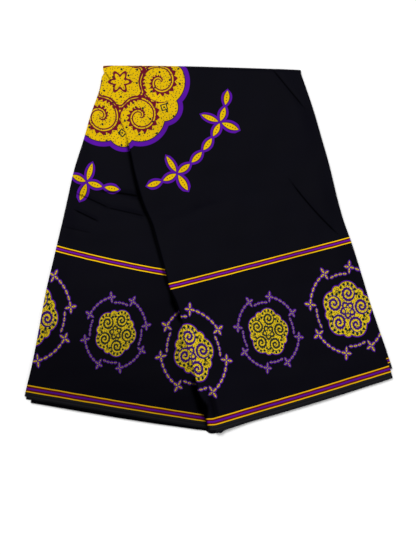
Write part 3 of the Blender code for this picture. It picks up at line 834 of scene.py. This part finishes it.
class Graph:
    """Short calls for building a node tree. Inputs are sockets, numbers or tuples."""

    def __init__(self, tree):
        self.tree = tree

    def node(self, kind, inputs, **settings):
        """The outputs of a new node with these settings and inputs."""
        node = self.tree.nodes.new("ShaderNode" + kind)
        for name, value in settings.items():
            setattr(node, name, value)
        put(node, inputs)
        return node.outputs

    def math(self, operation, *values, clamp=False):
        return self.node("Math", dict(enumerate(values)), operation=operation, use_clamp=clamp)[0]

    def add(self, a, b):
        return self.math("ADD", a, b)

    def sub(self, a, b):
        return self.math("SUBTRACT", a, b)

    def mul(self, *values):
        return reduce(lambda a, b: self.math("MULTIPLY", a, b), values)

    def least(self, *values):
        return reduce(lambda a, b: self.math("MINIMUM", a, b), values)

    def most(self, *values):
        return reduce(lambda a, b: self.math("MAXIMUM", a, b), values)

    def scaled(self, value, by, plus, clamp=False):
        return self.math("MULTIPLY_ADD", value, by, plus, clamp=clamp)

    def absolute(self, a):
        return self.math("ABSOLUTE", a)

    def inside(self, distance, edge=0.0, soft=0.35):
        """1 where distance is less than edge, with a soft step this many millimetres wide."""
        if isinstance(edge, (int, float)):
            return self.scaled(distance, -1 / soft, edge / soft + 0.5, clamp=True)
        return self.scaled(self.sub(distance, edge), -1 / soft, 0.5, clamp=True)

    def band(self, distance, low, high, soft=0.35):
        """1 where distance lies between low and high."""
        middle, half = (low + high) / 2, (high - low) / 2
        return self.inside(self.absolute(self.sub(distance, middle)), half, soft)

    def invert(self, mask):
        return self.sub(1.0, mask)

    def length(self, a, b):
        return self.math("SQRT", self.scaled(a, a, self.mul(b, b)))

    def polar(self, x, y):
        """A place's distance from the origin and its angle there."""
        return self.length(x, y), self.math("ARCTAN2", y, x)

    def fold(self, value, period):
        """The distance past the nearest multiple of period, from minus half of it to half."""
        return self.math("WRAP", value, period / 2, -period / 2)

    def ripple(self, value, period):
        """A triangle wave from 0 at multiples of period to 1 between them."""
        return self.math("PINGPONG", self.mul(value, 2 / period), 1.0)

    def combine(self, x, y):
        return self.node("CombineXYZ", {0: x, 1: y})[0]

    def uv_map(self, name):
        vector = self.node("UVMap", {}, uv_map=name)[0]
        return self.node("SeparateXYZ", {0: vector})[:2]

    def millimetres(self, name):
        return (self.mul(value, 1 / MM) for value in self.uv_map(name))

    def dimmed(self, colour, share):
        """A colour times a number."""
        return self.node("VectorMath", {0: colour, "Scale": share}, operation="SCALE")[0]

    def noise(self, vector, scale, detail, roughness=0.5):
        inputs = {"Vector": vector, "Scale": scale, "Detail": detail, "Roughness": roughness}
        return self.node("TexNoise", inputs, noise_dimensions="2D")[0]

    def dots(self, vector, spacing, radius):
        """A mask of scattered dots of this radius about this far apart, in millimetres."""
        inputs = {"Vector": vector, "Scale": 1 / spacing, "Randomness": DOT_SCATTER}
        distance = self.node("TexVoronoi", inputs, voronoi_dimensions="2D")["Distance"]
        return self.inside(self.mul(distance, spacing), radius)

    def paint(self, colour, over, mask):
        return self.node("Mix", {"Factor": mask, "A": colour, "B": over}, data_type="RGBA")["Result"]


# The medallions, in millimetres about their middle: a ring of lobes, each with a toothed scroll in it,
# and smaller lobes between them. Beads follow the rim where the motif has them. All of it is then made
# size times as large, apart from its spots, which are a spacing and a radius for each kind.
LARGE_MOTIF = SimpleNamespace(
    lobes=6, reach=58, radius=36, small_reach=74, small_radius=20, heart=62,
    pitch=18.5, scroll=31, body=2.9, thread=0.9, teeth=4.8, scroll_teeth=16,
    ring=33, ring_teeth=40, frame=2.2, beads=None,
    size=1.06, rim=7.6, spots=((4.3, 0.72), (17, 1.7)),
)
BORDER_MOTIF = SimpleNamespace(
    lobes=5, reach=54, radius=38, small_reach=70, small_radius=16, heart=60,
    pitch=14.5, scroll=27, body=3.7, thread=0, teeth=2.4, scroll_teeth=12,
    ring=22, ring_teeth=20, frame=3, beads=16,
    size=0.5, rim=4, spots=((3.2, 0.8),),
)
DOT_SCATTER = 0.9
BEAD_RADIUS, BEAD_INSET = 4.8, 7.0
DIAMOND, DIAMOND_HEART = 4.6, 1.8
PETALS, PETAL_WAVE = 12.0, 3.5
TOOTH_GROWTH = 0.05  # for each millimetre from a scroll's middle
BLACK_RIM, SOFT_RIM, SOFT_EDGE = 1.2, 0.7, 0.5


def toothed(g, signed, wave, motif):
    """A line with teeth on its outer side, and a pale thread along its middle where the motif has one."""
    teeth = g.inside(signed, g.scaled(wave, motif.teeth, motif.body))
    outer = g.mul(teeth, g.inside(g.mul(signed, -1.0)))
    away = g.absolute(signed)
    line = g.most(g.inside(away, motif.body), outer)
    if motif.thread:
        line = g.mul(line, g.invert(g.inside(away, motif.thread)))
    return line


def about(g, radius, turn, reach):
    """A place at this radius and turn, as coordinates about the point this far out at no turn."""
    return g.sub(g.mul(radius, g.math("COSINE", turn)), reach), g.mul(radius, g.math("SINE", turn))


def medallion(g, x, y, motif):
    """The distance outside a medallion's edge, and masks of its lines and of its small squares."""
    radius, angle = g.polar(x, y)
    sector = 2 * math.pi / motif.lobes
    turn = g.fold(angle, sector)
    lobe_radius, lobe_angle = g.polar(*about(g, radius, turn, motif.reach))
    small_p, small_q = about(g, radius, g.sub(sector / 2, g.absolute(turn)), motif.small_reach)
    edge_distance = g.least(
        g.sub(lobe_radius, motif.radius),
        g.sub(g.length(small_p, small_q), motif.small_radius),
        g.sub(radius, motif.heart),
    )

    arm = g.scaled(lobe_angle, -motif.pitch / (2 * math.pi), lobe_radius)
    growth = g.math("MULTIPLY", lobe_radius, TOOTH_GROWTH, clamp=True)
    wave = g.mul(g.ripple(lobe_angle, 2 * math.pi / motif.scroll_teeth), growth)
    scroll = toothed(g, g.fold(arm, motif.pitch), wave, motif)
    scroll = g.mul(scroll, g.inside(lobe_radius, motif.scroll))
    swing = g.math("COSINE", g.mul(angle, motif.lobes))
    from_ring = g.sub(radius, g.scaled(swing, -PETAL_WAVE, motif.ring))
    ring = toothed(g, from_ring, g.ripple(angle, 2 * math.pi / motif.ring_teeth), motif)
    from_petals = g.absolute(g.sub(radius, g.scaled(swing, PETAL_WAVE, PETALS)))
    line = g.most(scroll, ring, g.inside(from_petals, motif.frame))

    diamond = g.add(g.absolute(small_p), g.absolute(small_q))
    frame = g.band(diamond, DIAMOND, DIAMOND + motif.frame)
    square = g.most(frame, g.inside(diamond, DIAMOND_HEART))
    if motif.beads:
        bead_ring = motif.radius - BEAD_INSET
        along_rim = g.fold(g.mul(lobe_angle, bead_ring), motif.beads)
        beads = g.inside(g.length(g.sub(lobe_radius, bead_ring), along_rim), BEAD_RADIUS)
        square = g.most(square, g.mul(beads, g.inside(g.sub(motif.reach, radius))))
    return edge_distance, line, square


# Colours of the print, as linear values.
BLACK = (0.0013, 0.0012, 0.0032, 1)
BORDER_BLACK = (0.0011, 0.0009, 0.0029, 1)
SELVEDGE = (0.0066, 0.0065, 0.0080)
YELLOW = (0.565, 0.36, 0.0, 1)
PALE_YELLOW = (0.56, 0.40, 0.006, 1)
DULL_YELLOW = (0.40, 0.31, 0.02, 1)
STRIPE_YELLOW = (0.80, 0.49, 0.0, 1)
DEEP_YELLOW = (0.66, 0.37, 0.0, 1)
PURPLE = (0.070, 0.0035, 0.255, 1)
DARK_PURPLE = (0.030, 0.004, 0.110, 1)
DULL_PURPLE = (0.058, 0.006, 0.200, 1)
DEEP_PURPLE = (0.066, 0.003, 0.26, 1)
BRIGHT_PURPLE = (0.098, 0.004, 0.33, 1)
DARK_RED = (0.108, 0.003, 0.015, 1)
STRIPE_RED = (0.085, 0.002, 0.008, 1)
DARK_GREEN = (0.004, 0.014, 0.012, 1)
DARK_OLIVE = (0.020, 0.022, 0.014, 1)

# Chains of leaves round the motifs: the ring's radius and the leaves' half width in millimetres, how many
# chains to a ring, how many leaf lengths each has to itself, how far it runs and where its crossed leaves
# are, both in leaf lengths from its middle, and how much longer those are.
GARLAND = SimpleNamespace(ring=166, width=8.4, chains=4, share=10, runs=4, crosses=2, stretch=1.25)
WREATH = SimpleNamespace(ring=70, width=3.5, chains=4, share=11, runs=4, crosses=3, stretch=1.1)
INNER_WREATH = SimpleNamespace(ring=58.5, width=3.2, chains=4, share=11, runs=2, crosses=None)
GARLAND_TURN, WREATH_TURN = math.radians(40), math.radians(45)
DOT_SPACING, DOT_RADIUS, DOT_REACH = 4.2, 0.8, 0.55

# How a leaf's outline and its inner part narrow towards its ends, how far the dark line reaches out and in
# from the inner part's edge, and how far out a crossed leaf lies, as a share of its length. A chain's end
# is this many millimetres longer.
OUTLINE_TAPER, INNER_TAPER = 0.62, 1.3
LINE_GROWS, LINE_OUT, LINE_IN = 1.15, 0.04, 0.03
CROSS_OUT, POINT_BEYOND = 0.52, 1.0


def paint_leaf(g, colour, along, across, length, width, ends, core, colours):
    """A leaf about its middle, where the mask of its ends allows it: yellow in a thin dark line and a
    purple outline. Core is the yellow's share of its half width."""
    share = g.mul(along, 2 / length)
    bend = g.mul(share, share)
    reach = g.absolute(across)
    outline = g.inside(reach, g.scaled(bend, -OUTLINE_TAPER * width, width))
    inner = g.mul(g.scaled(bend, -INNER_TAPER * width, width), core)
    dark = g.inside(reach, g.scaled(inner, LINE_GROWS, LINE_OUT * width))
    light = g.inside(reach, g.sub(inner, LINE_IN * width))
    dots = g.inside(g.length(g.fold(along, DOT_SPACING), across), DOT_RADIUS)
    dots = g.mul(dots, g.inside(g.absolute(share), DOT_REACH, soft=0.05))
    light = g.mul(light, g.invert(dots))
    for mask, ink in ((outline, colours[0]), (dark, BLACK), (light, colours[1])):
        colour = g.paint(colour, ink, g.mul(mask, ends))
    return colour


def pointed(g, along, across, half_length):
    """A mask that ends in a point a little beyond this half length at either end."""
    return g.inside(g.add(g.absolute(along), g.absolute(across)), half_length + POINT_BEYOND)


def paint_chains(g, colour, radius, angle, chain, core, colours):
    """Chains of leaves along a ring, each with two crossed pairs where the chain has them."""
    length, width = 2 * math.pi * chain.ring / (chain.chains * chain.share), chain.width
    along = g.mul(g.fold(angle, 2 * math.pi / chain.chains), chain.ring)
    across = g.sub(radius, chain.ring)
    step = g.sub(g.math("PINGPONG", along, length), length / 2)
    ends = pointed(g, along, across, length * chain.runs)
    colour = paint_leaf(g, colour, step, across, length, width, ends, core, colours)
    if chain.crosses is None:
        return colour
    longer = length * chain.stretch
    outward = g.sub(g.absolute(across), longer * CROSS_OUT)
    beside = g.sub(g.absolute(along), length * chain.crosses)
    ends = pointed(g, outward, beside, longer / 2)
    return paint_leaf(g, colour, outward, beside, longer, width, ends, core, colours)


def paint_medallion(g, colour, x, y, motif, yellow, line_colour):
    """A medallion about x and y, in a purple rim with a black line inside it."""
    size = motif.size
    edge_distance, line, square = medallion(g, g.mul(x, 1 / size), g.mul(y, 1 / size), motif)
    colour = g.paint(colour, PURPLE, g.inside(edge_distance, motif.rim, SOFT_RIM))
    colour = g.paint(colour, BLACK, g.inside(edge_distance, BLACK_RIM, SOFT_EDGE))
    body = g.inside(edge_distance, 0.0, SOFT_EDGE)
    place = g.combine(x, y)
    spots = g.most(*(g.dots(place, spacing, radius) for spacing, radius in motif.spots))
    colour = g.paint(colour, yellow, body)
    for mask, ink in ((spots, DARK_GREEN), (line, line_colour), (square, DARK_GREEN)):
        colour = g.paint(colour, ink, g.mul(body, mask))
    return colour


def crease_shade_lines(g, mx, my):
    """How near a place is to a sharp crease's line of painted shade: 1 on it and 0 a little away."""
    lines = []
    for leaf, ax, ay, bx, by, bulge, _, _, _, strength, half_width in CREASES:
        if not strength:
            continue
        if leaf == "left":
            ax, bx = (x - looked_up(HIDDEN_PRINT, y) / MM for x, y in ((ax, ay), (bx, by)))
        half, way_x, way_y = direction(ax, ay, bx, by)
        from_x = g.sub(mx, (ax + bx) / 2 - MOTIF_CENTRE[0] / MM)
        from_y = g.sub(my, (ay + by) / 2 - MOTIF_CENTRE[1] / MM)
        along = g.scaled(from_x, way_x / half, g.mul(from_y, way_y / half))
        across = g.scaled(from_y, way_x, g.mul(from_x, -way_y))
        curve = g.scaled(g.mul(along, along), -bulge, bulge)
        near = g.scaled(g.absolute(g.sub(across, curve)), -1 / half_width, 1.0, clamp=True)
        fade = g.scaled(g.absolute(along), -LINE_FADE, LINE_FADE, clamp=True)
        lines.append(g.mul(near, fade, strength))
    return g.most(*lines)


def paint_stripes(g, colour, v):
    """The two stripes: yellow, then red, then purple, towards the middle."""
    stripes = (
        (LOWER_STRIPE / MM, 5.5, DEEP_YELLOW, DEEP_PURPLE),
        (UPPER_STRIPE / MM, 4.75, STRIPE_YELLOW, BRIGHT_PURPLE),
    )
    for centre, half_width, yellow, purple in stripes:
        away = g.absolute(g.sub(v, centre))
        for share, band in ((1.0, yellow), (0.70, STRIPE_RED), (0.20, purple)):
            colour = g.paint(colour, band, g.inside(away, half_width * share))
    return colour


def paint_border(g, colour, u, v):
    """The border's motifs and their wreaths, with every other one smaller and duller."""
    spacing = BORDER_SPACING / MM
    small = g.math("GREATER_THAN", g.absolute(g.fold(u, 2 * spacing)), spacing / 2)
    size = g.scaled(small, -SMALLER_BY, 1.0)
    x = g.math("DIVIDE", g.mul(g.fold(u, spacing), BORDER_NARROWER), size)
    y = g.math("DIVIDE", g.sub(v, spacing), size)
    radius, angle = g.polar(x, y)
    core = g.scaled(small, -CORE_THINNER, BORDER_CORE)
    inks = (DULL_PURPLE, g.paint(PALE_YELLOW, DULL_YELLOW, small))
    motifs = paint_chains(g, colour, radius, g.add(angle, WREATH_TURN), WREATH, core, inks)
    motifs = paint_chains(g, motifs, radius, angle, INNER_WREATH, core, inks)
    scrolls = g.paint(DARK_PURPLE, DARK_OLIVE, small)
    motifs = paint_medallion(g, motifs, x, y, BORDER_MOTIF, PALE_YELLOW, scrolls)
    return g.paint(colour, motifs, g.band(v, *BORDER_ZONE))


def threads(g, mx, my, along_x):
    """Fine streaks of brightness along one set of threads, about 1."""
    x_scale, y_scale = STREAK_SCALES if along_x else STREAK_SCALES[::-1]
    streaks = g.noise(g.combine(g.mul(mx, x_scale), g.mul(my, y_scale)), *STREAK_NOISE)
    return g.scaled(streaks, STREAK, STREAK_FROM)


def new_material(name):
    """A new material and its shader."""
    material = bpy.data.materials.new(name)
    material.use_nodes = True
    return material, material.node_tree.nodes["Principled BSDF"]


def print_colour(g, u, v, mx, my):
    """The black ground and the selvedge with all of the print on them."""
    lower, upper = LOWER_STRIPE / MM, UPPER_STRIPE / MM
    colour = g.paint(BLACK, BORDER_BLACK, g.band(v, lower, upper, GROUND_SOFT))
    ribs = g.scaled(g.ripple(v, SELVEDGE_RIB), SELVEDGE_BRIGHT - SELVEDGE_DIM, SELVEDGE_DIM)
    colour = g.paint(colour, g.dimmed(SELVEDGE, ribs), g.band(v, RAW_EDGE, lower - GROUND_SOFT))
    radius, angle = g.polar(mx, my)
    angle = g.add(angle, GARLAND_TURN)
    colour = paint_chains(g, colour, radius, angle, GARLAND, GARLAND_CORE, (PURPLE, YELLOW))
    colour = paint_medallion(g, colour, mx, my, LARGE_MOTIF, YELLOW, DARK_RED)
    colour = paint_border(g, colour, u, v)
    return paint_stripes(g, colour, v)


def cloth_material():
    """Black cotton with the print, a fine weave and a faint sheen."""
    material, shader = new_material("printed_cotton")
    g = Graph(material.node_tree)
    u, v = g.millimetres("print")
    mx, my = g.millimetres("cloth")
    fold, left_shade = g.uv_map("shade")
    place = g.combine(mx, my)
    v = g.scaled(g.sub(g.noise(place, *WANDER_NOISE), 0.5), PRINT_WANDERS, v)
    fade = g.scaled(g.noise(place, *FADE_NOISE), FADE, FADE_FROM)
    warp, weft = threads(g, mx, my, False), threads(g, mx, my, True)
    # Painted shade: the creases' dark lines, the pleat's deep shade and the left leaf's end and darkening
    # dim the colour and take sheen away.
    line = crease_shade_lines(g, mx, my)
    dark = g.most(line, fold)
    shade = g.mul(fade, warp, weft, g.scaled(dark, -LINE_SHADE, 1.0), g.invert(left_shade))
    weave = g.mul(*(g.math("SINE", g.mul(way, 2 * math.pi / WEAVE_PITCH)) for way in (mx, my)))
    height = g.scaled(line, -LINE_DEPTH, g.scaled(weave, WEAVE_DEPTH, g.add(warp, weft)))
    looks = {
        "Base Color": g.dimmed(print_colour(g, u, v, mx, my), shade),
        "Normal": g.node("Bump", {"Strength": RELIEF_STRENGTH, "Distance": RELIEF, "Height": height})[0],
        "Roughness": g.scaled(shade, ROUGHER, ROUGHNESS),
        "Specular IOR Level": g.mul(g.invert(dark), g.scaled(left_shade, -SHEEN_LOST, 1.0), SHEEN),
    }
    put(shader, looks)
    return material


def build_floor():
    material, shader = new_material("floor")
    put(shader, {"Base Color": (0.9, 0.9, 0.9, 1), "Roughness": 0.9, "Specular IOR Level": 0.1})
    mesh = bpy.data.meshes.new("floor")
    reach = 5.0
    corners = [(-reach, -reach, 0), (reach, -reach, 0), (reach, reach, 0), (-reach, reach, 0)]
    mesh.from_pydata(corners, [], [(0, 1, 2, 3)])
    mesh.materials.append(material)
    floor = in_scene("floor", mesh)


def area_light(name, place, size, power):
    """A square area light that points at the cloth's middle."""
    data = bpy.data.lights.new(name, "AREA")
    data.shape = "SQUARE"
    data.size = size
    data.energy = power
    light = in_scene(name, data)
    light.location = place
    light.rotation_mode = "QUATERNION"
    light.rotation_quaternion = (-light.location).to_track_quat("-Z", "Y")


def build_light():
    area_light("key_light", (-0.2, 0.55, 2.2), 0.7, 35)
    area_light("fill_light", (1.2, -0.6, 2.1), 1.6, 5)
    world = bpy.data.worlds.new("studio")
    world.use_nodes = True
    put(world.node_tree.nodes["Background"], {"Color": (1, 1, 1, 1), "Strength": 0.62})
    bpy.context.scene.world = world


# The photograph's frame is 416 by 555 pixels, and each is this wide on the cloth.
PIXEL = 1.54 * MM
FRAME_HEIGHT = 555
FRAME_MIDDLE = (208, 277.5)
CLOTH_MIDDLE = (209, 249.5)
CAMERA_HEIGHT = 2.4
SENSOR = 36.0


def build_camera():
    data = bpy.data.cameras.new("camera")
    data.sensor_width = SENSOR
    data.lens = SENSOR * CAMERA_HEIGHT / (FRAME_HEIGHT * PIXEL)
    camera = in_scene("camera", data)
    x = (FRAME_MIDDLE[0] - CLOTH_MIDDLE[0]) * PIXEL
    y = (CLOTH_MIDDLE[1] - FRAME_MIDDLE[1]) * PIXEL
    camera.location = (x, y, CAMERA_HEIGHT + HEIGHT_AT_HEM)
    bpy.context.scene.camera = camera


def build():
    cotton = cloth_material()
    front = build_front(cotton)
    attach(front, "root")
    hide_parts("front_left_leaf", "front_right_leaf", "top_fold", "back_panel")
    for number in range(INNER_SHEETS):
        layer = inner_sheet(number, cotton)
        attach(layer, "root")
        if number == 0:
            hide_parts("next_layer_left", "next_layer_right")
        elif number == 1:
            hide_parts("hidden_layers")
    build_floor()
    build_light()
    build_camera()
    bpy.context.scene.view_settings.view_transform = "Standard"


build()

bpy.context.view_layer.update()
